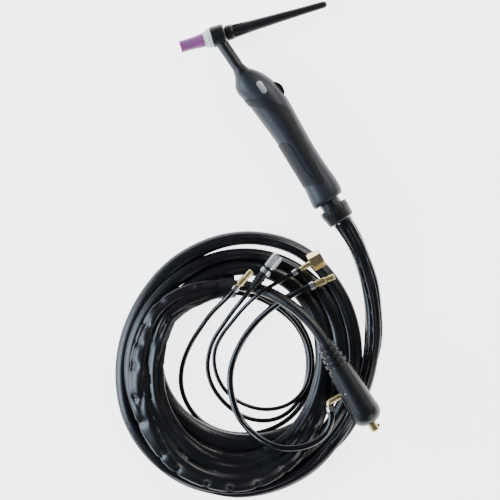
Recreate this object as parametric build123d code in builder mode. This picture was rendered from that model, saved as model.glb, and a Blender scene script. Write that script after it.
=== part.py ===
from build123d import *
import os
from math import cos, sin, tan, radians, pi

# A water-cooled TIG welding torch with its sheathed lead, hose tails and power plug.
# Millimetres. +Y runs along the handle towards the head, +X towards the trigger and the
# back cap, +Z up. The torch lies on its right side; the origin is under its middle.

os.makedirs("parts", exist_ok=True)

# ---- driving dimensions: torch body -------------------------------------------------
handle_length = 184.0      # tail face to the front rim of the shells
shell_wall = 2.4
grip_proud = 0.8           # rubber stands this far above the shell
grip_inlay = 1.2           # and sits this far into it
badge_proud = 0.4
badge_inlay = 0.8
thickest = 18.0            # half thickness of the handle at its fullest
neck_radius = 7.5
neck_root_radius = 11.0
spigot_radius = 9.5        # neck moulding where the shells clamp it
head_reach = 238.5         # tail face to the centre of the head
head_tilt = 17.6           # degrees that the head axis leans back from square
hub_radius = 12.7
hub_front = 7.1
hub_back = 10.0
core_radius = 8.0
nozzle_length = 29.8
nozzle_start = 16.25
nozzle_tip_radius = 7.2
cap_reach = 137.0          # head centre to the tip of the back cap
cap_tip_radius = 4.2
rear_reach = 29.7          # tail face to the end of the sheath clamp
electrode_radius = 1.2
running = 0.06             # radial clearance of parts that turn or slide
easy = 0.3                 # clearance of parts that pass each other freely

# ---- driving dimensions: lead -------------------------------------------------------
lead_radius = 11.5
tail_radius = 12.0
coil_height = 22.0         # one layer of turns
sleeve_top = 38.0          # top of the loose last turn
power_radius = 6.75
supply_radius = 3.0
control_radius = 2.75
gas_radius = 2.5
return_radius = 4.0

# ---- the torch's own planes ---------------------------------------------------------
cap_x = cos(radians(head_tilt))
cap_y = -sin(radians(head_tilt))
nozzle_reach = nozzle_start + nozzle_length
low_x = -nozzle_reach * cap_x + nozzle_tip_radius * cap_y
high_x = (cap_reach - cap_tip_radius) * cap_x + cap_tip_radius
high_y = head_reach - nozzle_reach * cap_y + nozzle_tip_radius * cap_x
tail_x = -(low_x + high_x) / 2
tail_y = -(high_y - rear_reach) / 2
axis_z = thickest + grip_proud

HANDLE = Plane(origin=(tail_x, tail_y, axis_z), x_dir=(0, 1, 0), z_dir=(0, 0, 1))
HEAD = Plane(origin=(tail_x, tail_y + head_reach, axis_z), x_dir=(cap_x, cap_y, 0), z_dir=(0, 0, 1))
SPLIT = Plane(origin=(tail_x, tail_y, axis_z), x_dir=(1, 0, 0), z_dir=(0, 0, 1))


def save(piece, label):
    """Name a finished piece and write its STEP file."""
    piece.part.label = label
    export_step(piece.part, f"parts/{label}.step")


def turned(profile, plane):
    """A piece turned about the plane's X axis from its half profile of (along, radius)."""
    with BuildPart() as piece:
        with BuildSketch(plane):
            with BuildLine():
                Polyline(*profile, close=True)
            make_face()
        revolve(axis=Axis(plane.origin, plane.x_dir))
    return piece


def across(plane, along):
    """A plane square to another plane's X axis, at a distance along it."""
    start = plane.origin + plane.x_dir * along
    return Plane(origin=start, x_dir=plane.y_dir, z_dir=plane.x_dir)


# ---- head: nozzle, insulator, core, collet, electrode, cap ---------------------------
thread_radius = 4.76       # collet body thread that carries the nozzle
collet_radius = 1.8
collet_bore = electrode_radius + 0.05
cap_thread_radius = 6.3
ring_groove_radius = 5.1

nozzle = turned([(-nozzle_reach, 5.6), (-nozzle_reach, nozzle_tip_radius - 0.5),
                 (-nozzle_reach + 0.5, nozzle_tip_radius), (-38, 7.1), (-30, 7.4), (-22, 8.1),
                 (-20, 8.4), (-nozzle_start - 0.6, 8.4), (-nozzle_start, 7.8),
                 (-nozzle_start, thread_radius + running), (-26, thread_radius + running),
                 (-28, 5.6)], HEAD)
save(nozzle, "nozzle")

insulator_bore = thread_radius + 0.1
insulator = turned([(-16.2, insulator_bore), (-16.2, 9.6), (-15.8, 10.0), (-12.6, 10.0),
                    (-12.6, 11.8), (-12.2, 12.2), (-hub_front - 0.05, 12.2),
                    (-hub_front - 0.05, insulator_bore)], HEAD)
save(insulator, "insulator")

pipe_radius = 2.3
pipe_bore = 1.5
pipe_offset = 2.6
neck_bore = pipe_radius + pipe_offset + 0.3
neck_foot = handle_length - 19.0
with BuildPart() as torch_head:
    with BuildSketch(HEAD):
        with BuildLine():
            Polyline((-hub_front, 0), (-hub_front, hub_radius - 1), (-hub_front + 1, hub_radius),
                     (hub_back - 2, hub_radius), (hub_back, hub_radius - 2), (hub_back, 0), close=True)
        make_face()
    revolve(axis=Axis(HEAD.origin, HEAD.x_dir))
    with BuildSketch(HANDLE):
        with BuildLine():
            Polyline((neck_foot, 0), (neck_foot, spigot_radius), (handle_length, spigot_radius),
                     (handle_length + 0.05, neck_root_radius), (handle_length + 4, 9.2),
                     (handle_length + 10, neck_radius), (head_reach, neck_radius), (head_reach, 0),
                     close=True)
        make_face()
    revolve(axis=Axis(HANDLE.origin, HANDLE.x_dir))
    with BuildSketch(across(HEAD, -hub_front - 1)):
        Circle(core_radius)
    extrude(amount=hub_front + hub_back + 2, mode=Mode.SUBTRACT)
    with BuildSketch(across(HANDLE, neck_foot - 1)):
        Circle(neck_bore)
    extrude(amount=head_reach - neck_foot, mode=Mode.SUBTRACT)
save(torch_head, "torch_head")

head_core = turned([(-hub_front + 0.05, 4.5), (-hub_front + 0.05, core_radius - 0.05),
                    (9.5, core_radius - 0.05), (9.5, cap_thread_radius + running + 0.02),
                    (2.4, cap_thread_radius + running + 0.02), (2.4, 2.2), (-1, 2.2), (-1, 4.5)],
                   HEAD)
save(head_core, "head_core")

with BuildPart() as collet_body:
    with BuildSketch(HEAD):
        with BuildLine():
            Polyline((-34, collet_radius + 0.05), (-34, 3.0), (-33.4, 3.6), (-24, 3.6),
                     (-24, thread_radius), (-8, thread_radius), (-8, 4.45), (-1.2, 4.45),
                     (-1.2, collet_radius + 0.05), close=True)
        make_face()
    revolve(axis=Axis(HEAD.origin, HEAD.x_dir))
    with Locations(Location(across(HEAD, -29))):
        with PolarLocations(0, 4):
            Cylinder(0.8, 12, rotation=(0, 90, 0), mode=Mode.SUBTRACT)
save(collet_body, "collet_body")

with BuildPart() as collet:
    with BuildSketch(across(HEAD, -33)):
        Circle(collet_radius)
        Circle(collet_bore, mode=Mode.SUBTRACT)
    extrude(amount=38)
    with BuildSketch(across(HEAD, -33.5)):
        Rectangle(0.5, 6)
    extrude(amount=18, mode=Mode.SUBTRACT)
save(collet, "collet")

electrode_tip = -nozzle_reach + 3
electrode = turned([(electrode_tip, 0), (electrode_tip, 0.3), (electrode_tip + 5, electrode_radius),
                    (electrode_tip + 150, electrode_radius), (electrode_tip + 150, 0)], HEAD)
save(electrode, "electrode")

dome = cap_reach - cap_tip_radius
flute_count = 8
flute_floor = 7.2
flute_width = 2.4
with BuildPart() as back_cap:
    with BuildSketch(HEAD):
        with BuildLine():
            Polyline((5.2, 1.6), (5.2, cap_thread_radius), (8.0, cap_thread_radius),
                     (8.0, ring_groove_radius), (9.6, ring_groove_radius), (9.6, cap_thread_radius),
                     (hub_back + easy, cap_thread_radius), (hub_back + easy, 6.8), (11.6, 9.35), (18, 9.35),
                     (19.5, 8.6), (43.5, 6.9), (103, 4.85), (dome, cap_tip_radius))
            RadiusArc((dome, cap_tip_radius), (cap_reach, 0), cap_tip_radius)
            Polyline((cap_reach, 0), (dome - 1, 0), (dome - 1, 1.6), (5.2, 1.6))
        make_face()
    revolve(axis=Axis(HEAD.origin, HEAD.x_dir))
    with BuildSketch(across(HEAD, 21)):
        with PolarLocations(flute_floor + 2, flute_count):
            Rectangle(4, flute_width)
    extrude(amount=30, mode=Mode.SUBTRACT)
save(back_cap, "back_cap")

with BuildPart() as back_cap_o_ring:
    with BuildSketch(HEAD):
        with Locations((8.8, 5.75)):
            Circle(0.6)
    revolve(axis=Axis(HEAD.origin, HEAD.x_dir))
save(back_cap_o_ring, "back_cap_o_ring")

pipe_start = 100.0
with BuildPart() as neck_pipes:
    with BuildSketch(across(HANDLE, pipe_start)):
        with Locations((pipe_offset, 0), (-pipe_offset, 0)):
            Circle(pipe_radius)
            Circle(pipe_bore, mode=Mode.SUBTRACT)
    extrude(amount=head_reach - pipe_start - 10)
save(neck_pipes, "neck_pipes")

# ---- handle: two shells with rubber grips and badges ---------------------------------
# Stations along the handle: (along, reach to the belly, reach to the trigger, half thickness)
stations = [(0, 17.5, 18.0, 15.5), (3, 19.6, 20.3, 17.2), (9, 19.3, 21.7, 17.6),
            (30, 15.8, 22.0, 16.8), (60, 14.2, 22.2, 16.5), (90, 12.9, 24.4, 17.0),
            (120, 13.8, 27.2, 17.8), (handle_length - 44, 14.8, 28.0, thickest),
            (handle_length - 29, 16.2, 26.0, thickest), (handle_length - 18, 18.0, 22.6, 17.0),
            (handle_length - 8, 16.2, 17.5, 14.8), (handle_length, 11.3, 11.5, 11.3)]


def handle_form(grow, first=0, last=len(stations)):
    """The handle's outer form through its stations, grown or shrunk by a distance."""
    with BuildPart() as form:
        for along, belly, trigger, half in stations[first:last]:
            middle = (trigger - belly) / 2
            plane = Plane(origin=(tail_x + middle, tail_y + along, axis_z), x_dir=(1, 0, 0), z_dir=(0, -1, 0))
            with BuildSketch(plane):
                Ellipse((belly + trigger) / 2 + grow, half + grow)
        loft()
    return form.part


outer_form = handle_form(0)
grip_form = handle_form(grip_proud)
grip_floor = handle_form(-grip_inlay)
badge_form = handle_form(badge_proud)
badge_floor = handle_form(-badge_inlay)
cavity_form = handle_form(-shell_wall, 1, len(stations) - 1)

# The grip's outline on the side of the handle, as (reach, along); it wraps at the belly.
grip_outline = [(-24, 159.9), (-2.8, 148.3), (5.5, 140), (13.7, 131.7), (20.6, 123.1),
                (22.4, 116), (18.3, 91.4), (13.3, 63.2), (11.6, 45), (8.7, 24.1), (4.3, 22.7),
                (-24, 33), (-24, 89.1), (-8, 89), (-3.5, 85.1), (-1.6, 79), (-2.5, 63.2),
                (-3.4, 44.3), (-1.1, 33.2), (2.2, 33.2), (3.2, 45.5), (4.4, 65.7), (5.3, 87.8),
                (8.7, 110), (6.4, 121), (-0.5, 131.2), (-8.2, 140.4), (-24, 155)]
with BuildPart() as grip_column:
    with BuildSketch(SPLIT.offset(-axis_z - 5)):
        with BuildLine():
            Polyline(*grip_outline, close=True)
        make_face()
    extrude(amount=2 * axis_z + 10)
with BuildPart() as badge_column:
    with BuildSketch(SPLIT.offset(-axis_z - 5)):
        with Locations((9.0, handle_length - 27)):
            SlotOverall(17, 7, rotation=90)
    extrude(amount=2 * axis_z + 10)

swivel_radius = 12.0
# Screws from the right side: (reach, along, height of the head's seat)
screws = [(14.5, 34, 8.0), (15.5, 72, 8.0), (-9, 112, 12.0), (-11, handle_length - 24, 10.5)]
screw_spots = [(reach, along) for reach, along, seat in screws]
screw_shank = 1.5
screw_head = 2.7
screw_head_height = 2.2
with BuildPart() as screw_wells:
    with BuildSketch(SPLIT.offset(-axis_z)):
        with Locations(*screw_spots):
            Circle(screw_shank)
    extrude(amount=axis_z + 9)
    for reach, along, seat in screws:
        with BuildSketch(SPLIT.offset(-axis_z)):
            with Locations((reach, along)):
                Circle(screw_head + 0.1)
        extrude(amount=seat)

grip_band = ((grip_form - grip_floor) & grip_column.part) - screw_wells.part
badge_band = (badge_form - badge_floor) & badge_column.part

window_along, window_across = 22.4, 12.4     # trigger window in the shells
window_middle = handle_length - 39.5
with BuildPart() as screw_bosses:
    with BuildSketch(SPLIT.offset(-axis_z)):
        with Locations(*screw_spots):
            Circle(3.8)
    extrude(amount=2 * axis_z)
    add(outer_form, mode=Mode.INTERSECT)
with BuildPart() as shells:
    add(outer_form)
    add(cavity_form, mode=Mode.SUBTRACT)
    add(screw_bosses.part)
    with BuildSketch(across(HANDLE, -1)):
        Circle(swivel_radius + 0.05)
    extrude(amount=16, mode=Mode.SUBTRACT)
    with BuildSketch(across(HANDLE, neck_foot + 1)):
        Circle(spigot_radius + 0.05)
    extrude(amount=handle_length - neck_foot, mode=Mode.SUBTRACT)
    add(grip_column.part & (outer_form - grip_floor), mode=Mode.SUBTRACT)
    add(badge_column.part & (outer_form - badge_floor), mode=Mode.SUBTRACT)
    with Locations((tail_x + 26, tail_y + window_middle, axis_z)):
        Box(16, window_along, window_across, mode=Mode.SUBTRACT)
    add(screw_wells.part, mode=Mode.SUBTRACT)

for side, keep in (("left", Keep.TOP), ("right", Keep.BOTTOM)):
    with BuildPart() as handle_shell:
        add(shells.part)
        split(bisect_by=SPLIT, keep=keep)
    save(handle_shell, f"handle_shell_{side}")
    with BuildPart() as grip:
        add(grip_band)
        split(bisect_by=SPLIT, keep=keep)
    save(grip, f"grip_{side}")
    with BuildPart() as side_badge:
        add(badge_band)
        split(bisect_by=SPLIT, keep=keep)
    save(side_badge, f"side_badge_{side}")

with BuildPart() as handle_screws:
    for reach, along, seat in screws:
        with BuildSketch(SPLIT.offset(seat - screw_head_height - axis_z)):
            with Locations((reach, along)):
                Circle(screw_head)
        extrude(amount=screw_head_height)
        with BuildSketch(SPLIT.offset(seat - axis_z)):
            with Locations((reach, along)):
                Circle(screw_shank)
        extrude(amount=axis_z + 8 - seat)
save(handle_screws, "handle_screws")

# ---- trigger button, switch and its bracket ------------------------------------------
trigger_travel = 2.0
button_top = 31.0
button_heel = 25.4         # height of the button's ends, inside the window
flange_top = 20.6
button_along = window_along - 2 * easy
button_across = window_across - 2 * easy
plunger_radius = 1.5
bracket_top = 6.8
bracket_length = 18.0
bracket_width = 30.4
switch_top = 14.0
plunger_top = switch_top + trigger_travel + 0.8


def reach_box(low, high, along, length, width):
    """A block between two reaches from the handle's axis towards the trigger."""
    with Locations((tail_x + (low + high) / 2, tail_y + along, axis_z)):
        Box(high - low, length, width)


with BuildPart() as trigger:
    with BuildSketch(SPLIT):
        with BuildLine():
            Polyline((button_heel, window_middle + button_along / 2),
                     (flange_top - 1.4, window_middle + button_along / 2),
                     (flange_top - 1.4, window_middle - button_along / 2),
                     (button_heel, window_middle - button_along / 2))
            ThreePointArc((button_heel, window_middle - button_along / 2), (button_top, window_middle),
                          (button_heel, window_middle + button_along / 2))
        make_face()
    extrude(amount=button_across / 2, both=True)
    top = trigger.faces().sort_by(Axis.X)[-1]
    fillet(top.edges(), 1.2)
    reach_box(flange_top - 1.6, flange_top, window_middle, button_along + 3, button_across + 3)
    with BuildSketch(Plane(origin=(tail_x + plunger_top + 0.1, tail_y + window_middle, axis_z),
                           x_dir=(0, 1, 0), z_dir=(1, 0, 0))):
        Circle(2.2)
    extrude(amount=flange_top - plunger_top - 1.6)
save(trigger, "trigger")

PLUNGER = Plane(origin=(tail_x + switch_top, tail_y + window_middle, axis_z), x_dir=(0, 1, 0), z_dir=(1, 0, 0))
with BuildPart() as switch_body:
    reach_box(bracket_top, switch_top, window_middle, 14, 6.4)
    with BuildSketch(PLUNGER):
        Circle(plunger_radius + running)
    extrude(amount=-5, mode=Mode.SUBTRACT)
save(switch_body, "switch_body")

with BuildPart() as switch_plunger:
    with BuildSketch(PLUNGER.offset(-trigger_travel - 0.5)):
        Circle(plunger_radius)
    extrude(amount=plunger_top - switch_top + trigger_travel + 0.5)
save(switch_plunger, "switch_plunger")

with BuildPart() as switch_bracket:
    reach_box(bracket_top - 1.6, bracket_top, window_middle - 1, bracket_length, bracket_width)
save(switch_bracket, "switch_bracket")

# ---- rear: swivel joint, collar nut, sheath clamp, inner hoses -----------------------
nut_thread = 14.5
swivel_joint = turned([(14, 9.0), (14, swivel_radius), (-0.1, swivel_radius), (-0.1, 12.6), (-7.6, 12.6),
                       (-7.6, nut_thread), (-22, nut_thread), (-22, 9.0)], HANDLE)
save(swivel_joint, "swivel_joint")

nut_ribs = 20
with BuildPart() as collar_nut:
    with BuildSketch(HANDLE):
        with BuildLine():
            Polyline((-8, nut_thread + running), (-8, 17.2), (-8.7, 17.9), (-14, 17.9), (-26.5, 16.4),
                     (-28, 15.0), (-28, 12.0), (-22.3, 12.0), (-22.3, nut_thread + running), close=True)
        make_face()
    revolve(axis=Axis(HANDLE.origin, HANDLE.x_dir))
    with BuildSketch(across(HANDLE, -25)):
        with PolarLocations(18.3, nut_ribs):
            Circle(0.9)
    extrude(amount=14, mode=Mode.SUBTRACT)
save(collar_nut, "collar_nut")

sheath_clamp = turned([(-22.1, 9.2), (-22.1, 11.6), (-rear_reach, 11.6), (-rear_reach, 9.2)], HANDLE)
save(sheath_clamp, "sheath_clamp")

with BuildPart() as handle_hoses:
    with BuildSketch(across(HANDLE, -rear_reach)):
        with Locations((pipe_offset + 1.2, 0), (-pipe_offset - 1.2, 0)):
            Circle(3.4)
        with Locations((0, 5.6)):
            Circle(1.9)
    extrude(amount=rear_reach + pipe_start - 6)
save(handle_hoses, "handle_hoses")


# ---- lead: routes of the cords as (x, y, z), from the torch to the far ends -----------
lead_route = [(tail_x, tail_y - rear_reach, axis_z), (tail_x, tail_y - rear_reach - 24, axis_z),
              (-48, -196, 15.5), (-57, -225, 12.6), (-70, -252, 12), (-87, -278, 12), (-107, -301, 12),
              (-129, -320, 12)]
tail_route = [(-290, -118, 29), (-262, -113, 27), (-236, -117, 20), (-214, -125, 15), (-198, -134, 14)]
power_route = [(-197, -132, 19), (-184, -141, 19.5), (-173, -152, 22), (-162, -166, 28), (-153.5, -182, 34),
               (-147, -200, 37), (-142.5, -218, 39), (-140.8, -236, 41), (-141.8, -252, 41)]
supply_route = [(-198, -133, 6), (-184, -144, 4), (-170, -162, 3.2), (-158, -187, 3.2), (-152, -216, 3.2),
                (-156, -246, 3.2), (-171, -273, 3.2), (-193, -294, 3.2), (-220, -305, 3.2),
                (-250, -305, 3.2), (-280, -294, 3.2), (-304, -274, 3.2), (-318, -250, 3.2),
                (-321, -225, 3.2), (-315, -200, 3.2), (-299, -179, 3.2), (-275, -163, 3.2),
                (-251, -153, 7.5), (-234, -147, 17), (-218, -144, 28), (-203, -141.3, 36), (-189.5, -138, 36)]
control_route = [(-202, -139, 12), (-187, -151, 8), (-175, -167, 3.2), (-164, -189, 3.2), (-157, -216, 3.2),
                 (-161, -244, 3.2), (-176, -270, 3.2), (-196, -289, 3.2), (-218, -298, 3.2),
                 (-238, -298, 3.2), (-256, -290, 3.2), (-271, -275, 3.2), (-281, -252, 3.2),
                 (-284, -227, 3.2), (-279, -205, 3.2), (-267, -188, 3.2), (-249, -174, 4),
                 (-228, -166, 13), (-210, -159, 25), (-193, -154, 33), (-176, -149, 33)]
gas_route = [(-194, -128, 9), (-183, -144, 10.3), (-173, -164, 8.8), (-161, -187, 8.6), (-155, -216, 8.6),
             (-159, -245, 8.6), (-173, -270, 8.6), (-192, -286, 8.6), (-212, -291, 8), (-231, -288, 4),
             (-249, -278, 2.8), (-263, -262, 2.8), (-272, -242, 2.8), (-273, -221, 2.8), (-267, -201, 2.8),
             (-256, -186, 2.8), (-239, -176, 4), (-220, -170, 11), (-201, -164, 23), (-181, -160, 33.5),
             (-160, -159.5, 37), (-138, -161.5, 35), (-116.7, -163, 35)]
return_route = [(-178.5, -316.5, 41), (-182, -326, 41), (-188.5, -334.3, 40.5), (-198, -340.4, 39.5),
                (-212, -343.4, 38), (-228, -341.5, 36), (-243, -335, 33.5), (-257, -325, 30.5),
                (-269, -308, 24), (-275, -289, 16),
                (-277, -269, 12.5), (-272, -249, 12), (-264, -231, 9), (-252, -215, 4.4),
                (-236, -203, 4.2), (-217, -193, 4.6), (-196, -186, 7.5), (-178, -183, 13),
                (-163, -182, 18), (-150, -182, 23), (-137, -183, 27.5), (-124, -185.5, 30),
                (-112, -188, 30)]


def corner_radii(points):
    """The largest tangent arc for each corner of a route: 0.45 of its shorter run."""
    radii = []
    for before, here, after in zip(points, points[1:], points[2:]):
        into = Vector(*here) - Vector(*before)
        out = Vector(*after) - Vector(*here)
        turn = radians(into.get_angle(out))
        radii.append(0.45 * min(into.length, out.length) / tan(turn / 2))
    return radii


def cord(label, points, radius):
    """A cord's tube along straight runs joined by tangent arcs."""
    radii = corner_radii(points)
    with BuildPart() as tube:
        with BuildLine() as path:
            FilletPolyline(*points, radius=radii)
        start = Vector(*points[0])
        along = (Vector(*points[1]) - start).normalized()
        with BuildSketch(Plane(origin=start, z_dir=along)):
            Circle(radius)
        sweep(path=path.wires()[0], transition=Transition.ROUND)
    length = path.wires()[0].length
    share = tube.part.volume / (pi * radius ** 2 * length)
    print(f"{label}: length {length:.0f}, tightest radius {min(radii):.0f}, volume share {share:.3f}")
    save(tube, label)


def end_plane(points):
    """The plane at a cord's far end, with its X axis on along the last run."""
    last = Vector(*points[-1])
    run = last - Vector(*points[-2])
    return Plane(origin=last, x_dir=(run.X, run.Y, 0), z_dir=(0, 0, 1))


cord("cable_lead", lead_route, lead_radius)
cord("cable_tail", tail_route, tail_radius)
cord("power_cable", power_route, power_radius)
cord("water_supply_hose", supply_route, supply_radius)
cord("control_cable", control_route, control_radius)
cord("gas_hose", gas_route, gas_radius)
cord("water_return_hose", return_route, return_radius)

# The coil's turns as one flat ring, with the loose wide last turn on top of part of it.
coil_turn = -34.0          # the coil's long axis leans this many degrees from the handle
COIL = Plane(origin=(-240.8, -217.2, 0), x_dir=(cos(radians(coil_turn)), sin(radians(coil_turn)), 0),
             z_dir=(0, 0, 1))
with BuildPart() as cable_coil:
    with BuildSketch(COIL):
        with Locations((0.5, 1)):
            Ellipse(149, 161.5)
        with Locations((3, 5)):
            Ellipse(92, 104.5, mode=Mode.SUBTRACT)
    extrude(amount=coil_height)
    fillet(cable_coil.faces().sort_by(Axis.Z)[-1].edges(), 9)
    with BuildSketch(COIL.offset(coil_height - 8)):
        Circle(132)
        Circle(90, mode=Mode.SUBTRACT)
        with BuildLine():
            Polyline((0, 0), (35, -200), (240, -200), (240, 240), (-240, 240), (-300, 190), close=True)
        make_face(mode=Mode.SUBTRACT)
    extrude(amount=sleeve_top - coil_height + 8)
save(cable_coil, "cable_coil")

# ---- on the lead: end collar, clamps, fittings and the plug ---------------------------
with BuildPart() as sheath_end_collar:
    with BuildSketch(Plane(origin=tail_route[-1], z_dir=Vector(*tail_route[-1]) - Vector(*tail_route[-2]))
                     .offset(-14)):
        Circle(tail_radius + 1.2)
        Circle(tail_radius, mode=Mode.SUBTRACT)
    extrude(amount=20)
save(sheath_end_collar, "sheath_end_collar")


def hose_clamp(label, plane, hose_radius, back, width):
    """A band clamp round a hose just before its end, with its ear and screw."""
    band = hose_radius + 1.3
    with BuildPart() as clamp:
        with BuildSketch(across(plane, -back - width)):
            Circle(band)
            Circle(hose_radius + 0.05, mode=Mode.SUBTRACT)
        extrude(amount=width)
        with BuildSketch(plane.offset(band - 0.5)):
            with Locations((-back - width / 2, 0)):
                Rectangle(width * 0.8, 4.4)
        extrude(amount=3)
    save(clamp, label)


SUPPLY = end_plane(supply_route)
CONTROL = end_plane(control_route)
GAS = end_plane(gas_route)
RETURN = end_plane(return_route)
clamp_width = 5.5
clamp_back = 1.0
hose_clamp("supply_clamp", SUPPLY, supply_radius, clamp_back, clamp_width)
hose_clamp("gas_clamp", GAS, gas_radius, clamp_back + 3.5, clamp_width)
hose_clamp("return_clamp", RETURN, return_radius, clamp_back, clamp_width)

nipple_nose_radius = 3.75
nipple_bore = 1.75


def nipple(label, plane, hose_radius):
    """A brass push-in nipple: hose shoulder, body, catch groove and nose."""
    piece = turned([(0, nipple_bore), (0, hose_radius), (3.5, hose_radius), (3.5, 4.6), (13, 4.6), (13.6, 4.0),
                    (13.6, 3.2), (16, 3.2), (16, nipple_nose_radius), (24, nipple_nose_radius),
                    (25, nipple_nose_radius - 1), (25, nipple_bore)], plane)
    save(piece, label)


nipple("supply_nipple", SUPPLY, supply_radius)
nipple("return_nipple", RETURN, return_radius)

# Gas fitting: a barbed stem whose flanged end holds a loose hex nut.
stem_radius = 3.4
flange_radius = 6.3
nut_flats = 19.0
gas_thread_radius = 6.6
gas_thread_start = 21.8
nut_start = 14.2
nut_length = 16.0
gas_stem = turned([(0, 1.2), (0, gas_radius), (4, gas_radius), (4, stem_radius), (17, stem_radius),
                   (17, flange_radius), (20, flange_radius), (21.5, 4.5), (21.5, 1.2)], GAS)
save(gas_stem, "gas_stem")
with BuildPart() as gas_nut:
    with BuildSketch(across(GAS, nut_start)):
        RegularPolygon(nut_flats / 2, 6, major_radius=False)
    extrude(amount=nut_length)
    add(turned([(nut_start, 0), (nut_start, nut_flats / 2), (nut_start + 1.4, nut_flats / 2 + 2),
                (nut_start + nut_length - 1.4, nut_flats / 2 + 2),
                (nut_start + nut_length, nut_flats / 2), (nut_start + nut_length, 0)], GAS).part,
        mode=Mode.INTERSECT)
    with BuildSketch(across(GAS, 14)):
        Circle(stem_radius + 0.08)
    extrude(amount=4, mode=Mode.SUBTRACT)
    with BuildSketch(across(GAS, 16.7)):
        Circle(gas_thread_radius + 0.4)
    extrude(amount=gas_thread_start - 16.7, mode=Mode.SUBTRACT)
    with BuildSketch(across(GAS, gas_thread_start)):
        Circle(gas_thread_radius)
    extrude(amount=nut_length, mode=Mode.SUBTRACT)
save(gas_nut, "gas_nut")

# Control fitting: ribbed boot, cord clamp, body with pins and a knurled ring.
with BuildPart() as control_boot:
    with BuildSketch(CONTROL):
        with BuildLine():
            Polyline((-2, control_radius + 0.05), (-2, control_radius + 0.9), (14, 5.6), (22, 5.6),
                     (22, 3.4), (0.05, 3.0), (0.05, control_radius + 0.05), close=True)
        make_face()
        for rib in range(4):
            with Locations((3 + 4 * rib, 4.0 + 0.5 * rib)):
                Rectangle(2, 1.9)
    revolve(axis=Axis(CONTROL.origin, CONTROL.x_dir))
save(control_boot, "control_boot")
control_clamp = turned([(22.05, 3.4), (22.05, 7.0), (27.5, 7.0), (27.5, 3.4)], CONTROL)
save(control_clamp, "control_clamp")
control_body = turned([(27.55, 0), (27.55, 5.0), (31.5, 5.0), (31.5, 5.4), (33.5, 5.4), (33.5, 4.6),
                       (42.5, 4.6), (42.5, 0)], CONTROL)
save(control_body, "control_body")
ring_reach = 49.5
ring_radius = 6.8
with BuildPart() as control_ring:
    with BuildSketch(CONTROL):
        with BuildLine():
            Polyline((30.7, 5.08), (30.7, ring_radius), (ring_reach - 0.5, ring_radius),
                     (ring_reach, ring_radius - 0.5), (ring_reach, 5.2), (44.3, 5.2), (44.3, 4.9), (33.9, 4.9),
                     (33.9, 5.5), (31.3, 5.5), (31.3, 5.08), close=True)
        make_face()
    revolve(axis=Axis(CONTROL.origin, CONTROL.x_dir))
    with BuildSketch(across(CONTROL, 32.5)):
        with PolarLocations(ring_radius + 0.25, 24):
            Circle(0.6)
    extrude(amount=15, mode=Mode.SUBTRACT)
save(control_ring, "control_ring")
with BuildPart() as control_pins:
    with BuildSketch(across(CONTROL, 42.5)):
        with PolarLocations(2.6, 4):
            Circle(0.5)
    extrude(amount=1.6)
save(control_pins, "control_pins")

# Power plug: ribbed rubber boot and sleeve over a brass pin crimped to the cable.
PLUG = end_plane(power_route)
sleeve_start_radius = 14.2
sleeve_radius = 17.6
dome_radius = 18.2
sleeve_length = 77.0
boot_length = 32.0
pin_radius = 5.5
pin_reach = boot_length + sleeve_length + 11.5
core_fit = 7.9
sleeve_end = boot_length + sleeve_length
with BuildPart() as plug_boot:
    with BuildSketch(PLUG):
        with BuildLine():
            Polyline((-3, power_radius + 0.05), (-3, 8.2), (boot_length, 12.0), (boot_length, power_radius + 0.05),
                     close=True)
        make_face()
        for rib in range(4):
            with Locations((4 + 7.4 * rib, 9.3 + 1.0 * rib)):
                Rectangle(4.6, 3.2)
    revolve(axis=Axis(PLUG.origin, PLUG.x_dir))
save(plug_boot, "plug_boot")
spigot_along = 63.0
spigot_radius_outer = 3.2
plug_screw_radius = 1.9
plug_screw_reach = 16.0
plug_screw_lean = 40.0     # degrees from straight up, towards the spigot
spigot_side = -PLUG.y_dir
plug_up = Vector(0, 0, 1)
screw_out = spigot_side * sin(radians(plug_screw_lean)) + plug_up * cos(radians(plug_screw_lean))
spigot_root = PLUG.origin + PLUG.x_dir * spigot_along
SCREW_TOP = Plane(origin=spigot_root + screw_out * plug_screw_reach, x_dir=PLUG.x_dir, z_dir=screw_out)
with BuildPart() as plug_sleeve:
    with BuildSketch(PLUG):
        with BuildLine():
            Polyline((sleeve_end, core_fit + 0.05), (boot_length + 0.05, core_fit + 0.05),
                     (boot_length + 0.05, sleeve_start_radius - 1.2), (boot_length + 1.2, sleeve_start_radius),
                     (sleeve_end - 20, sleeve_radius), (sleeve_end - 20, sleeve_radius - 0.6),
                     (sleeve_end - 19, sleeve_radius - 0.6), (sleeve_end - 19, sleeve_radius + 0.2),
                     (sleeve_end - 18.4, dome_radius), (sleeve_end - 14, dome_radius))
            ThreePointArc((sleeve_end - 14, dome_radius), (sleeve_end - 3.61, 13.9), (sleeve_end, core_fit + 0.05))
        make_face()
    revolve(axis=Axis(PLUG.origin, PLUG.x_dir))
    with BuildSketch(Plane(origin=spigot_root, x_dir=PLUG.x_dir, z_dir=spigot_side)):
        Circle(spigot_radius_outer + 0.2)
    extrude(amount=sleeve_radius + 2, mode=Mode.SUBTRACT)
    with BuildSketch(SCREW_TOP.offset(2)):
        Circle(plug_screw_radius + 0.05)
    extrude(amount=-9, mode=Mode.SUBTRACT)
save(plug_sleeve, "plug_sleeve")
with BuildPart() as plug_screw:
    with BuildSketch(SCREW_TOP.offset(-0.9)):
        Circle(plug_screw_radius)
    extrude(amount=-5.5)
    with BuildSketch(SCREW_TOP.offset(-0.9)):
        Rectangle(2 * plug_screw_radius + 1, 0.7)
    extrude(amount=-1.2, mode=Mode.SUBTRACT)
save(plug_screw, "plug_screw")
plug_ferrule = turned([(0.05, power_radius - 1), (0.05, power_radius), (22, power_radius), (22, power_radius - 1)],
                      PLUG)
save(plug_ferrule, "plug_ferrule")
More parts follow.
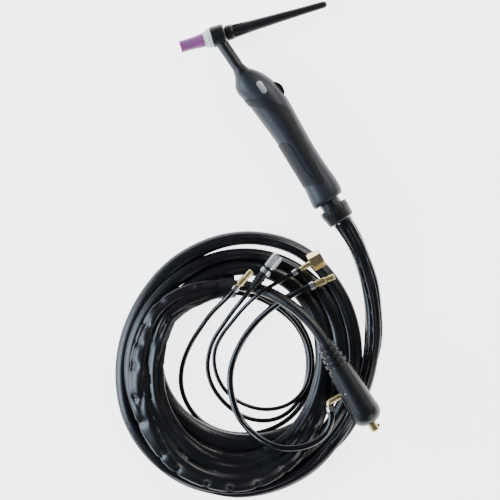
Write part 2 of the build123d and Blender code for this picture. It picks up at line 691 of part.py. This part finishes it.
with BuildPart() as plug_pin:
    with BuildSketch(PLUG):
        with BuildLine():
            Polyline((36, 0), (36, core_fit), (sleeve_end - 3, core_fit), (sleeve_end - 3, pin_radius),
                     (pin_reach - 1.5, pin_radius), (pin_reach, pin_radius - 1.5), (pin_reach, 0), close=True)
        make_face()
    revolve(axis=Axis(PLUG.origin, PLUG.x_dir))
    with BuildSketch(across(PLUG, pin_reach - 7)):
        with Locations((pin_radius, 0)):
            Rectangle(3.4, 4)
    extrude(amount=4)
save(plug_pin, "plug_pin")

# Brass elbow from the plug's core to the return hose.
hose_start = Vector(*return_route[0])
hose_run = (Vector(*return_route[1]) - hose_start).normalized()
elbow_start = spigot_root + spigot_side * (core_fit + 0.05)
offset = hose_start - elbow_start
turn = spigot_side.X * hose_run.Y - spigot_side.Y * hose_run.X
bend = elbow_start + spigot_side * ((offset.X * hose_run.Y - offset.Y * hose_run.X) / turn)
with BuildPart() as plug_spigot:
    with BuildLine() as elbow_path:
        FilletPolyline(tuple(elbow_start), tuple(bend), tuple(hose_start), radius=3.0)
    with BuildSketch(Plane(origin=elbow_start, z_dir=spigot_side)):
        Circle(spigot_radius_outer)
    sweep(path=elbow_path.wires()[0])
save(plug_spigot, "plug_spigot")
SPIGOT_END = Plane(origin=hose_start, x_dir=(-hose_run.X, -hose_run.Y, 0), z_dir=(0, 0, 1))
hose_clamp("spigot_clamp", SPIGOT_END, return_radius, clamp_back, clamp_width)
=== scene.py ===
# A water-cooled TIG torch lying on a pale floor: the torch, its sheathed lead wound in a
# flat coil, the hose tails with their fittings, and the power plug. Lengths in metres.

import math
import bpy
import numpy as np
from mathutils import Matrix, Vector, noise


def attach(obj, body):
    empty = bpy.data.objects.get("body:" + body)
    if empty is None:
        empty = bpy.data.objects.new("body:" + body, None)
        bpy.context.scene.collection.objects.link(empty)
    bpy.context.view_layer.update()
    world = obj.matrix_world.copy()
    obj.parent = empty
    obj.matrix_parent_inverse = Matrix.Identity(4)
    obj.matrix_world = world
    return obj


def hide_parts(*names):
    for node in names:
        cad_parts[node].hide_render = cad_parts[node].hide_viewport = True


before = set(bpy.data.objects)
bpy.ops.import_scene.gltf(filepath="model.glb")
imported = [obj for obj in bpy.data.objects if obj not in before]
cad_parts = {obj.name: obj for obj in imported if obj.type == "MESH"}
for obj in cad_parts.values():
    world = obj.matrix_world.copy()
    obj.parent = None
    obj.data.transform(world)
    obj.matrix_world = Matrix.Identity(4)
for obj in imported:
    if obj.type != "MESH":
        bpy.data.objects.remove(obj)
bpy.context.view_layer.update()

# ---- camera and stage ----------------------------------------------------------------
# The torch is seen straight from above, its handle leaning 34 degrees across the picture,
# on a white sweep under a large soft light.
camera_lean = math.radians(-34.05)
view_height = 2.6
view_width = 0.600
view_centre = Vector((-0.1532, -0.1104, 0.012))

camera = bpy.data.objects.new("camera", bpy.data.cameras.new("camera"))
bpy.context.collection.objects.link(camera)
camera.data.lens = camera.data.sensor_width * view_height / view_width
camera.location = view_centre + Vector((0, 0, view_height))
camera.rotation_euler = (0, 0, camera_lean)
bpy.context.scene.camera = camera

bpy.ops.object.select_all(action="DESELECT")
bpy.ops.mesh.primitive_plane_add(size=12, location=(0, 0, -0.0006))
floor = bpy.context.object
floor.name = "floor"


def soft_light(name, across, up, height, size, watts, colour):
    """An area light placed in the picture's own directions, aimed at the middle of the view."""
    lamp = bpy.data.objects.new(name, bpy.data.lights.new(name, "AREA"))
    bpy.context.collection.objects.link(lamp)
    lamp.data.shape = "RECTANGLE"
    lamp.data.size, lamp.data.size_y = size
    lamp.data.energy = watts
    lamp.data.color = colour
    right = Vector((math.cos(camera_lean), math.sin(camera_lean), 0))
    ahead = Vector((-math.sin(camera_lean), math.cos(camera_lean), 0))
    lamp.location = view_centre + right * across + ahead * up + Vector((0, 0, height))
    lamp.rotation_euler = (view_centre - lamp.location).to_track_quat("-Z", "Y").to_euler()


soft_light("window", -1.8, -0.1, 0.95, (1.6, 1.1), 78, (0.70, 0.84, 1.0))
soft_light("lamp", 1.2, 1.6, 1.3, (0.9, 0.9), 34, (1.0, 0.98, 0.95))
soft_light("fill", 1.7, -1.3, 1.1, (0.8, 0.8), 16, (1.0, 1.0, 1.0))

world = bpy.data.worlds.new("studio")
world.use_nodes = True
world.node_tree.nodes["Background"].inputs["Color"].default_value = (0.93, 0.95, 1.0, 1)
world.node_tree.nodes["Background"].inputs["Strength"].default_value = 0.05
bpy.context.scene.world = world


class Tap:
    """One output socket in a material; arithmetic on it adds Math nodes."""

    def __init__(self, finish, socket):
        self.finish = finish
        self.socket = socket

    def maths(self, operation, first, second):
        return self.finish.node("ShaderNodeMath", {"operation": operation}, {0: first, 1: second})

    def __add__(self, other):
        return self.maths("ADD", self, other)

    def __mul__(self, other):
        return self.maths("MULTIPLY", self, other)

    __radd__ = __add__
    __rmul__ = __mul__


class Finish:
    """A material in the making, on one Principled shader."""

    def __init__(self, name, colour, roughness, **fixed):
        self.material = bpy.data.materials.new(name)
        self.material.use_nodes = True
        self.tree = self.material.node_tree
        self.shader = self.tree.nodes["Principled BSDF"]
        self.shader.inputs["Base Color"].default_value = (*colour, 1)
        self.shader.inputs["Roughness"].default_value = roughness
        for label, value in fixed.items():
            self.shader.inputs[label.replace("_", " ")].default_value = value
        self.place = self.node("ShaderNodeTexCoord", {}, {}, "Object")

    def node(self, kind, settings, sockets, output=0):
        """Adds one node: its settings, then the values or links of its sockets."""
        node = self.tree.nodes.new(kind)
        for label, value in settings.items():
            if label == "stops":
                for stop, (position, colour) in zip(node.color_ramp.elements, value):
                    stop.position = position
                    stop.color = (*colour, 1)
            else:
                setattr(node, label, value)
        for label, value in sockets.items():
            if isinstance(value, Tap):
                self.tree.links.new(value.socket, node.inputs[label])
            else:
                node.inputs[label].default_value = value
        return Tap(self, node.outputs[output])

    def grain(self, scale, detail=3.0, roughness=0.5):
        """Noise from 0 to 1 with about one bump in 1/scale metres."""
        sockets = {"Vector": self.place, "Scale": scale, "Detail": detail, "Roughness": roughness}
        return self.node("ShaderNodeTexNoise", {}, sockets)

    def cells(self, scale):
        """Distance to the nearest cell centre, for leather pebbles and the grit of moulded rubber."""
        return self.node("ShaderNodeTexVoronoi", {}, {"Vector": self.place, "Scale": scale})

    def blend(self, amount, low, high):
        """A colour from low to high as amount goes from 0 to 1."""
        return self.node("ShaderNodeValToRGB", {"stops": [(0.0, low), (1.0, high)]}, {0: amount})

    def bump(self, height, depth, strength=1.0):
        """Feeds a height, 0 to 1, that stands depth metres high, to the shader's normal."""
        normal = self.node("ShaderNodeBump", {}, {"Height": height, "Distance": depth, "Strength": strength})
        self.feed("Normal", normal)

    def feed(self, socket, tap):
        self.tree.links.new(tap.socket, self.shader.inputs[socket])


def wear(finish, *objects):
    """Puts a finish on objects as their only material."""
    for piece in objects:
        piece.data.materials.clear()
        piece.data.materials.append(finish.material)


paper = Finish("white_floor", (0.93, 0.93, 0.93), 0.9, Emission_Color=(1, 1, 1, 1), Emission_Strength=3.6)
wear(paper, floor)

# ---- lead sheath ---------------------------------------------------------------------
# One long sleeve of glossy black leatherette over the cable and hoses. It leaves the rear
# nut, lies round in a flat coil of three tight turns, and ends in a loose wide fourth turn.
tail_x, tail_y, axis_z = -0.042356, -0.114794, 0.0188
nut_depth = 0.0284         # the sleeve starts inside the rear nut, under its clamp
# each bend of the lead: place, then the sleeve's half width and half height there
lead_bends = [(tail_x, tail_y - nut_depth, axis_z, 0.0119, 0.0119),
              (tail_x, tail_y - 0.054, axis_z, 0.0110, 0.0110),
              (-0.048, -0.196, 0.0155, 0.0106, 0.0108), (-0.057, -0.225, 0.0126, 0.0112, 0.0105),
              (-0.070, -0.252, 0.0120, 0.0104, 0.0105), (-0.087, -0.278, 0.0120, 0.0110, 0.0102),
              (-0.107, -0.301, 0.0118, 0.0104, 0.0102), (-0.129, -0.320, 0.0113, 0.0108, 0.0098),
              (-0.151, -0.3345, 0.0106, 0.0100, 0.0094)]
tail_bends = [(-0.290, -0.118, 0.0275, 0.0175, 0.0080), (-0.262, -0.113, 0.0250, 0.0160, 0.0082),
              (-0.236, -0.117, 0.0200, 0.0150, 0.0090), (-0.214, -0.125, 0.0152, 0.0122, 0.0106),
              (-0.198, -0.134, 0.0140, 0.0112, 0.0112)]

coil_centre = Vector((-0.2408, -0.2172, 0))
coil_side = Vector((math.cos(math.radians(-34)), math.sin(math.radians(-34)), 0))
coil_ahead = Vector((-coil_side.y, coil_side.x, 0))
coil_step = math.radians(30)
corner_cut = 0.9665        # the line runs inside bends 30 degrees apart by this factor
# the coil, every 30 degrees from 30: radius, height, half width and half height in millimetres
coil_bends = [
    (145.0, 10.0, 9.6, 8.8), (148.0, 9.8, 9.8, 8.8), (151.0, 9.8, 9.6, 8.8), (150.9, 9.8, 9.6, 8.8),
    (146.8, 9.8, 9.4, 8.8), (139.2, 9.8, 9.2, 8.8), (135.9, 9.8, 9.6, 8.8), (143.0, 9.8, 9.4, 8.8),
    (152.6, 9.8, 8.4, 8.6), (156.2, 9.8, 8.4, 8.6), (144.6, 9.8, 9.8, 8.6), (138.0, 9.8, 9.4, 8.6),
    (131.5, 10.6, 8.6, 8.6), (130.0, 10.2, 9.2, 8.8), (132.6, 10.0, 9.4, 8.8), (133.4, 10.4, 9.4, 8.8),
    (133.0, 12.6, 9.0, 8.8), (130.4, 15.0, 9.0, 8.6), (126.4, 14.6, 9.0, 8.6), (126.8, 12.4, 9.0, 8.6),
    (133.0, 9.8, 7.4, 8.2), (134.6, 9.8, 7.6, 8.2), (128.4, 9.8, 10.0, 8.4), (121.0, 9.8, 10.2, 8.4),
    (112.5, 9.8, 9.2, 8.4), (101.0, 9.8, 11.4, 8.6), (95.4, 9.6, 13.0, 8.4), (94.4, 9.6, 13.0, 8.4),
    (97.0, 9.8, 11.4, 8.6), (100.0, 9.8, 9.2, 8.6), (104.0, 10.2, 9.0, 8.6), (110.0, 10.8, 9.4, 8.6),
    (116.8, 9.8, 9.0, 8.4), (117.2, 9.8, 10.4, 8.4), (109.6, 9.8, 11.6, 8.4), (101.0, 11.0, 11.6, 8.4),
    (104.5, 17.0, 14.6, 7.6), (118.0, 20.0, 20.2, 7.0), (130.0, 21.0, 23.4, 7.2), (127.6, 23.0, 23.6, 7.6),
    (117.4, 26.0, 22.8, 8.0), (109.6, 28.0, 21.2, 8.2)]
coil_rows = []
for number, (radius, height, half_width, half_height) in enumerate(coil_bends):
    angle = coil_step * (number + 1)
    outwards = coil_side * math.cos(angle) - coil_ahead * math.sin(angle)
    spot = coil_centre + outwards * (radius * 0.001 / corner_cut)
    coil_rows.append((spot.x, spot.y, height * 0.001, half_width * 0.001, half_height * 0.001))
sheath_bends = lead_bends + coil_rows + tail_bends


def free_line(name, points):
    """A smooth NURBS curve object through the bends of a route."""
    curve = bpy.data.curves.new(name, "CURVE")
    curve.dimensions = "3D"
    curve.resolution_u = 10
    spline = curve.splines.new("NURBS")
    spline.points.add(len(points) - 1)
    for place, point in zip(spline.points, points):
        place.co = (*point, 1)
    spline.order_u = 3
    spline.use_endpoint_u = True
    line = bpy.data.objects.new(name, curve)
    bpy.context.collection.objects.link(line)
    return line


def line_points(line, spacing):
    """Evenly spaced points on a curve object's own line, and its length."""
    mesh = bpy.data.meshes.new_from_object(line)
    corners = np.array([tuple(vertex.co) for vertex in mesh.vertices])
    bpy.data.meshes.remove(mesh)
    steps = np.linalg.norm(np.diff(corners, axis=0), axis=1)
    along = np.concatenate([[0], np.cumsum(steps)])
    count = int(along[-1] / spacing) + 1
    spots = np.linspace(0, along[-1], count)
    path = np.stack([np.interp(spots, along, corners[:, axis]) for axis in range(3)], axis=1)
    return path, along[-1]


sheath_line = free_line("sheath_line", [bend[:3] for bend in sheath_bends])
ring_step = 0.00225        # the sleeve has a ring of points at this spacing
sheath_path, sheath_length = line_points(sheath_line, ring_step)
bpy.data.objects.remove(sheath_line)


def tube_mesh(name, path, sides, section):
    """A closed tube along a path. section gives a ring's points as (side, up) at a ring number."""
    tangent = np.gradient(path, axis=0)
    tangent /= np.linalg.norm(tangent, axis=1)[:, None]
    side = np.cross(tangent, np.array([0.0, 0.0, 1.0]))
    side /= np.linalg.norm(side, axis=1)[:, None]
    up = np.cross(side, tangent)
    corners, faces = [], []
    for ring in range(len(path)):
        for reach, lift in section(ring):
            corners.append(path[ring] + side[ring] * reach + up[ring] * lift)
    for ring in range(len(path) - 1):
        for number in range(sides):
            here, there = ring * sides + number, ring * sides + (number + 1) % sides
            faces.append((here, there, there + sides, here + sides))
    faces.append(tuple(reversed(range(sides))))
    faces.append(tuple(range((len(path) - 1) * sides, len(path) * sides)))
    mesh = bpy.data.meshes.new(name)
    mesh.from_pydata([tuple(corner) for corner in corners], [], faces)
    mesh.update()
    tube = bpy.data.objects.new(name, mesh)
    bpy.context.collection.objects.link(tube)
    bpy.ops.object.select_all(action="DESELECT")
    tube.select_set(True)
    bpy.context.view_layer.objects.active = tube
    bpy.ops.object.mode_set(mode="EDIT")
    bpy.ops.mesh.select_all(action="SELECT")
    bpy.ops.mesh.normals_make_consistent(inside=False)
    bpy.ops.object.mode_set(mode="OBJECT")
    bpy.ops.object.shade_smooth_by_angle(angle=math.radians(60))
    return tube


sheath_sides = 64
runs = np.linalg.norm(np.diff(np.array(sheath_bends)[:, :3], axis=0), axis=1)
bend_places = np.concatenate([[0], np.cumsum(runs)]) / runs.sum() * sheath_length
ring_places = np.linspace(0, sheath_length, len(sheath_path))
ring_widths = np.interp(ring_places, bend_places, [bend[3] for bend in sheath_bends])
ring_heights = np.interp(ring_places, bend_places, [bend[4] for bend in sheath_bends])
pleat_count = 9
pleat_depth = 0.0014
pleated_part = 0.085       # the pleats that the nut squeezes in fade over this length
slack_end, slack_fade = 0.42, 0.15      # how far along the slack creases of the first stretch go
twist_depth = 0.0023       # creases that wind round the slack stretch
seam_depth, seam_lost = 0.0005, 0.0002  # thin long creases, and how much of them slack takes away
flat_from, flat_to = 0.0115, 0.0190     # half widths at which the sleeve starts to lie flat, and lies flat
gather_pitch = 0.029       # the flat turn is gathered along its outer edge about this far apart
gather_depth, pinch_depth = 0.0017, 0.0009               # how far its outer and inner edges draw in
valley_depth, crease_depth, buckle_depth = 0.0027, 0.0014, 0.0030    # the dents along its face
swag_height, notch_depth, sag_height = 0.0022, 0.0032, 0.0018        # the puffs between gathers


def ease(value):
    """0 to 1, with soft ends."""
    value = min(max(value, 0), 1)
    return value * value * (3 - 2 * value)


def ridge(x, y, z, sharpness):
    """Noise in thin winding lines: 1 on a line, 0 away from it."""
    return max(1 - abs(noise.noise(Vector((x, y, z)))) * sharpness, 0) ** 2


def sheath_section(ring):
    """The sleeve's outline: pleated in the nut, snug on the tight turns, flat on the last."""
    along = ring_places[ring]
    half_width, half_height = ring_widths[ring], ring_heights[ring]
    flat = ease((half_width - flat_from) / (flat_to - flat_from)) if along > 1 else 0.0
    pleat = ease(1 - along / pleated_part)
    slack = 1 - ease((along - slack_end) / slack_fade)
    middle = -0.05 + 0.55 * noise.noise(Vector((along * 5, 3, 1)))
    second = middle + 0.5 + 0.3 * noise.noise(Vector((along * 8, 7, 2)))
    beat = along / gather_pitch + 0.9 * noise.noise(Vector((along * 19, 1, 9)))
    notch = max(math.cos(2 * math.pi * beat), 0) ** 5
    swag = 0.5 - 0.5 * math.cos(2 * math.pi * beat)
    points = []
    for number in range(sheath_sides):
        turn = 2 * math.pi * number / sheath_sides
        cos, sin = math.cos(turn), math.sin(turn)
        out = 0.0005 * noise.noise(Vector((along * 7, cos * 1.2, sin * 1.2 + 5)))
        fold = 0.5 + 0.5 * math.cos(pleat_count * turn + along * 30)
        out -= pleat_depth * pleat * ease((along - 0.0015) / 0.01) * fold
        seam = ridge(along * 1.3, cos * 1.1 + 9, sin * 1.1, 6.0)
        diagonal = ridge(along * 8 + cos * 1.5, cos * 0.8, sin * 0.8 - 7, 2.6)
        shallow = (seam_depth - seam_lost * slack) * seam * (1 - flat)
        out -= shallow + twist_depth * slack * diagonal * (1 - pleat)
        edge_in = 0.0
        lift = 0.0
        if flat > 0:
            outer = ease((-cos - 0.30) / 0.55)
            inner = ease((cos - 0.35) / 0.5)
            pinch = ridge(along * 30, 4, 6, 2.0)
            edge_in = flat * (gather_depth * notch * outer + pinch_depth * pinch * inner)
            if sin > -0.2:
                valley = math.exp(-((cos - middle) / 0.13) ** 2)
                crease = math.exp(-((cos - second) / 0.07) ** 2)
                buckle = ridge(along * 12 - cos * 1.1, cos * 1.3 + 3, 8.0, 2.4)
                lift = -valley_depth * valley - crease_depth * crease - buckle_depth * buckle
                lift += swag_height * outer * (swag - 0.5) - notch_depth * notch * outer
                lift += sag_height * noise.noise(Vector((along * 9, cos * 1.5, 6)))
        reach = half_width + out - edge_in
        points.append((cos * reach, sin * (half_height + out) + flat * lift * max(sin, 0.12)))
    return points


def nodes(*names):
    """The CAD pieces of those names."""
    return [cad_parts[name] for name in names]


sheath = tube_mesh("sheath", sheath_path, sheath_sides, sheath_section)

# One width for the whole sleeve, between its 15 to 26 mm where it is snug and its 47 mm
# where it lies flat.
leatherette = Finish("glossy_leatherette", (0.006, 0.006, 0.0075), 0.33, IOR=1.48)
pebble = leatherette.cells(1300)
cloudy = leatherette.grain(24, 4)
leatherette.feed("Base Color", leatherette.blend(cloudy, (0.0035, 0.0035, 0.0045), (0.009, 0.009, 0.0115)))
leatherette.feed("Roughness", cloudy * 0.24 + 0.2)
leatherette.bump(pebble * 0.4 + leatherette.grain(240, 4), 0.0003, 0.4)
wear(leatherette, sheath)
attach(sheath, "torch")
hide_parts("cable_lead", "cable_coil", "cable_tail")

# ---- power cable and hose tails ------------------------------------------------------
# The power cable and three thin tails leave the sheath's end; the thin ones go once round
# inside the coil and come up onto it at their fittings. The water return starts under the
# plug. All are extruded PVC or rubber, smooth and glossy.
power_points = [(-0.197, -0.132, 0.019), (-0.184, -0.141, 0.0195), (-0.173, -0.152, 0.022),
                (-0.162, -0.166, 0.028), (-0.1535, -0.182, 0.034), (-0.147, -0.200, 0.037),
                (-0.1425, -0.218, 0.039), (-0.1408, -0.236, 0.041), (-0.1418, -0.252, 0.041)]
supply_points = [(-0.198, -0.133, 0.006), (-0.184, -0.144, 0.004), (-0.170, -0.162, 0.0032),
                 (-0.158, -0.187, 0.0032), (-0.152, -0.216, 0.0032), (-0.156, -0.246, 0.0032),
                 (-0.171, -0.273, 0.0032), (-0.193, -0.294, 0.0032), (-0.220, -0.305, 0.0032),
                 (-0.250, -0.305, 0.0032), (-0.280, -0.294, 0.0032), (-0.304, -0.274, 0.0032),
                 (-0.318, -0.250, 0.0032), (-0.321, -0.225, 0.0032), (-0.315, -0.200, 0.0032),
                 (-0.299, -0.179, 0.0032), (-0.275, -0.163, 0.0032), (-0.251, -0.153, 0.0075),
                 (-0.234, -0.147, 0.017), (-0.218, -0.144, 0.028), (-0.203, -0.1413, 0.036),
                 (-0.1895, -0.138, 0.036)]
control_points = [(-0.202, -0.139, 0.012), (-0.187, -0.151, 0.008), (-0.175, -0.167, 0.0032),
                  (-0.164, -0.189, 0.0032), (-0.157, -0.216, 0.0032), (-0.161, -0.244, 0.0032),
                  (-0.176, -0.270, 0.0032), (-0.196, -0.289, 0.0032), (-0.218, -0.298, 0.0032),
                  (-0.238, -0.298, 0.0032), (-0.256, -0.290, 0.0032), (-0.271, -0.275, 0.0032),
                  (-0.281, -0.252, 0.0032), (-0.284, -0.227, 0.0032), (-0.279, -0.205, 0.0032),
                  (-0.267, -0.188, 0.0032), (-0.249, -0.174, 0.004), (-0.228, -0.166, 0.013),
                  (-0.210, -0.159, 0.025), (-0.193, -0.154, 0.033), (-0.176, -0.149, 0.033)]
gas_points = [(-0.194, -0.128, 0.009), (-0.183, -0.144, 0.0103), (-0.173, -0.164, 0.0088),
              (-0.161, -0.187, 0.0086), (-0.155, -0.216, 0.0086), (-0.159, -0.245, 0.0086),
              (-0.173, -0.270, 0.0086), (-0.192, -0.286, 0.0086), (-0.212, -0.291, 0.008),
              (-0.231, -0.288, 0.004), (-0.249, -0.278, 0.0028), (-0.263, -0.262, 0.0028),
              (-0.272, -0.242, 0.0028), (-0.273, -0.221, 0.0028), (-0.267, -0.201, 0.0028),
              (-0.256, -0.186, 0.0028), (-0.239, -0.176, 0.004), (-0.220, -0.170, 0.011),
              (-0.201, -0.164, 0.023), (-0.181, -0.160, 0.0335), (-0.160, -0.1595, 0.037),
              (-0.138, -0.1615, 0.035), (-0.1167, -0.163, 0.035)]
return_points = [(-0.1785, -0.3165, 0.041), (-0.182, -0.326, 0.041), (-0.1885, -0.3343, 0.0405),
                 (-0.198, -0.3404, 0.0395), (-0.212, -0.3434, 0.038), (-0.228, -0.3415, 0.036),
                 (-0.243, -0.335, 0.0335), (-0.257, -0.325, 0.0305), (-0.269, -0.308, 0.024),
                 (-0.275, -0.289, 0.016), (-0.277, -0.269, 0.0125), (-0.272, -0.249, 0.012),
                 (-0.264, -0.231, 0.009), (-0.252, -0.215, 0.0044), (-0.236, -0.203, 0.0042),
                 (-0.217, -0.193, 0.0046), (-0.196, -0.186, 0.0075), (-0.178, -0.183, 0.013),
                 (-0.163, -0.182, 0.018), (-0.150, -0.182, 0.023), (-0.137, -0.183, 0.0275),
                 (-0.124, -0.1855, 0.030), (-0.112, -0.188, 0.030)]

hose_skin = Finish("black_hose", (0.0045, 0.0045, 0.0052), 0.18, IOR=1.5)
hose_skin.feed("Roughness", hose_skin.grain(180, 3) * 0.2 + 0.12)
hose_skin.bump(hose_skin.grain(700, 3), 0.0001, 0.25)
cable_skin = Finish("rubber_cable", (0.0055, 0.006, 0.0075), 0.4, IOR=1.5)
cable_skin.feed("Roughness", cable_skin.grain(90, 4) * 0.2 + 0.3)
cable_skin.bump(cable_skin.grain(900, 4), 0.00012, 0.3)


def tail(name, node, points, radius, finish, slot, **facts):
    """One tail: a round hose or cable along its route, in the place of its plain solid."""
    hose = free_line(name, points)
    length = line_points(hose, ring_step)[1]
    hose.data.bevel_depth = radius
    hose.data.bevel_resolution = 5
    hose.data.use_fill_caps = True
    hose.data.materials.append(finish.material)
    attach(hose, "torch")
    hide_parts(node)
    return hose


tail("power_lead", "power_cable", power_points, 0.00675, cable_skin, "cable_rubber", far_end="plug",
     stiffness="medium", lay="loose",
     with_pieces=nodes("plug_boot", "plug_sleeve", "plug_pin", "plug_screw", "plug_ferrule"))
tail("supply_hose", "water_supply_hose", supply_points, 0.003, hose_skin, "hose_black", far_end="fitting",
     stiffness="medium", lay="loose", with_pieces=nodes("supply_clamp", "supply_nipple"))
tail("control_lead", "control_cable", control_points, 0.00275, hose_skin, "hose_black", far_end="connector",
     stiffness="medium", lay="loose",
     with_pieces=nodes("control_boot", "control_clamp", "control_ring", "control_pins", "control_body"))
tail("gas_line", "gas_hose", gas_points, 0.0025, hose_skin, "hose_black", far_end="fitting",
     stiffness="medium", lay="loose", with_pieces=nodes("gas_clamp", "gas_stem", "gas_nut"))
tail("return_hose", "water_return_hose", return_points, 0.004, hose_skin, "hose_black", far_end="fitting",
     stiffness="medium", lay="loose",
     with_pieces=nodes("return_clamp", "return_nipple", "plug_spigot", "spigot_clamp"))

# ---- handle shells -------------------------------------------------------------------
# Two halves moulded in dark blue-grey nylon and screwed together from below. The mould
# leaves a fine texture, so they are satin rather than glossy.
shell = Finish("grey_shell", (0.018, 0.0205, 0.0265), 0.46, IOR=1.42)
dusk = shell.grain(45, 4)
shell.feed("Base Color", shell.blend(dusk, (0.0165, 0.0185, 0.0245), (0.0205, 0.023, 0.030)))
shell.feed("Roughness", dusk * 0.14 + 0.38)
shell.bump(shell.grain(2600, 2), 0.00005, 0.3)
wear(shell, *nodes("handle_shell_left", "handle_shell_right"))

# ---- grips ---------------------------------------------------------------------------
# A black rubber pad in a recess of each shell, moulded with a dull, finely pebbled face.
# It is duller and darker than the shell round it.
grip = Finish("grip_rubber", (0.0055, 0.006, 0.0072), 0.6, IOR=1.42)
grip.feed("Roughness", grip.grain(120, 4) * 0.16 + 0.52)
grip.bump(grip.cells(1400), 0.0001, 0.3)
wear(grip, *nodes("grip_left", "grip_right"))

# ---- head, back cap, rear nut and trigger --------------------------------------------
# Hard black mouldings with a slight sheen: the head with its neck, the cap that screws into
# its back, the swivel and its nut at the handle's tail, and the trigger with its switch.
moulding = Finish("black_moulding", (0.0045, 0.0048, 0.0060), 0.42, IOR=1.45)
moulding.feed("Roughness", moulding.grain(150, 4) * 0.18 + 0.34)
moulding.bump(moulding.grain(1800, 3), 0.00006, 0.3)
wear(moulding, *nodes("torch_head", "back_cap", "collar_nut", "swivel_joint", "trigger", "switch_body",
                      "switch_plunger", "back_cap_o_ring"))

# ---- nozzle --------------------------------------------------------------------------
# A fired alumina cup, pink all through, that screws onto the collet body. Its colour drifts
# a little, and the fired face is slightly grainy.
alumina = Finish("pink_alumina", (0.27, 0.075, 0.20), 0.42)
speck = alumina.grain(900, 5, 0.7)
band = alumina.grain(70, 2)
alumina.feed("Base Color", alumina.blend(band * 0.7 + speck * 0.3, (0.33, 0.062, 0.19), (0.22, 0.105, 0.30)))
alumina.feed("Roughness", speck * 0.2 + 0.34)
alumina.bump(alumina.grain(1500, 4), 0.00006, 0.4)
wear(alumina, *nodes("nozzle"))

# ---- insulator -----------------------------------------------------------------------
# The white heat-proof ring between the head and the nozzle. It is smooth, with a faint
# cloudiness in its white.
ceramic = Finish("white_insulator", (0.86, 0.86, 0.85), 0.4)
ceramic.feed("Base Color", ceramic.blend(ceramic.grain(200, 4), (0.80, 0.80, 0.79), (0.9, 0.9, 0.89)))
wear(ceramic, *nodes("insulator"))

# ---- brass fittings ------------------------------------------------------------------
# Nipples, stem, hex nut, spigot and power pin, the control connector's pins, and the core,
# collets and pipes inside the head. Turned from bar: bright, with a little tarnish.
brass = Finish("machined_brass", (0.78, 0.62, 0.30), 0.32, Metallic=1.0)
tone = brass.grain(160, 4)
brass.feed("Base Color", brass.blend(tone, (0.70, 0.54, 0.24), (0.88, 0.74, 0.42)))
brass.feed("Roughness", brass.grain(500, 3) * 0.14 + 0.27)
brass.bump(brass.grain(700, 2), 0.00001, 0.1)
wear(brass, *nodes("supply_nipple", "return_nipple", "gas_stem", "gas_nut", "plug_pin", "plug_spigot",
                   "plug_ferrule", "head_core", "collet_body", "collet", "neck_pipes", "control_pins"))

# ---- bright hardware -----------------------------------------------------------------
# Crimped hose clamps, the control connector's ring and clamp, the screws, the switch
# bracket and the tungsten: plated or ground metal.
zinc = Finish("bright_zinc", (0.70, 0.71, 0.73), 0.25, Metallic=1.0)
zinc.feed("Roughness", zinc.grain(400, 3) * 0.14 + 0.26)
zinc.feed("Base Color", zinc.blend(zinc.grain(220, 3), (0.56, 0.57, 0.60), (0.78, 0.79, 0.80)))
wear(zinc, *nodes("supply_clamp", "gas_clamp", "return_clamp", "spigot_clamp", "control_clamp",
                  "control_ring", "handle_screws", "sheath_clamp", "switch_bracket", "plug_screw",
                  "electrode"))

# ---- side badges ---------------------------------------------------------------------
# A plain oval plate let into each shell just behind the neck, in satin silver. No mark
# stands on it.
satin = Finish("satin_badge", (0.42, 0.43, 0.46), 0.45, Metallic=0.7)
satin.feed("Roughness", satin.grain(600, 3) * 0.14 + 0.4)
satin.feed("Base Color", satin.blend(satin.grain(90, 3), (0.38, 0.39, 0.42), (0.47, 0.48, 0.51)))
wear(satin, *nodes("side_badge_left", "side_badge_right"))

# ---- plug, boots and inner hoses -----------------------------------------------------
# Moulded black rubber: the power plug's ribbed boot and sleeve, the control connector's
# boot and body, the collar at the sheath's end, and the hoses inside the handle.
rubber = Finish("plug_rubber", (0.0055, 0.006, 0.0075), 0.42, IOR=1.46)
rubber.feed("Roughness", rubber.grain(140, 4) * 0.18 + 0.32)
rubber.bump(rubber.grain(1500, 3), 0.00006, 0.3)
wear(rubber, *nodes("plug_boot", "plug_sleeve", "control_boot", "control_body", "sheath_end_collar",
                    "handle_hoses"))
